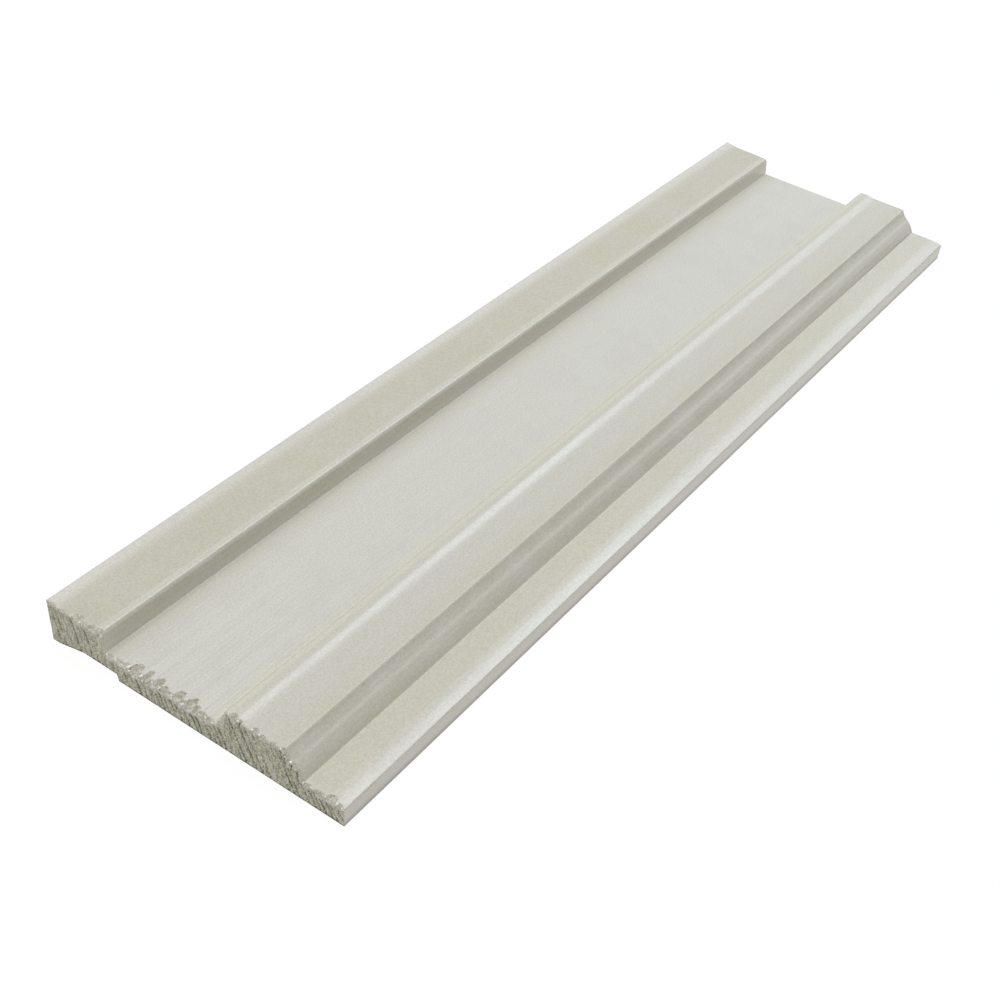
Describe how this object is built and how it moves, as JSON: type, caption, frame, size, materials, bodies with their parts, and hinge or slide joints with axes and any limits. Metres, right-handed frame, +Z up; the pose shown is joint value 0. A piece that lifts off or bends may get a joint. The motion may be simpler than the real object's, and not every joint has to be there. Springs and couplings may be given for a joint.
{
  "type": "skirting board",
  "caption": "Short length of moulded skirting board with a rounded lip, ogee, raised bead, flat field and thick foot band, lying on its flat back.",
  "frame": {"origin": "middle of the board's length and width, on the plane of its back", "axes": "+X along the length from the sawn end towards the clean-cut end, +Y across the width from the thin lip towards the thick foot band, +Z up out of the moulded face"},
  "size_m": [0.2874, 0.08, 0.012],
  "materials": {
    "pearl_coat": "satin pearl off-white coat, finely stippled, over a foamed core that shows on the sawn end"
  },
  "bodies": {
    "root": {"skirting_board": "pearl_coat"}
  },
  "joints": []
}
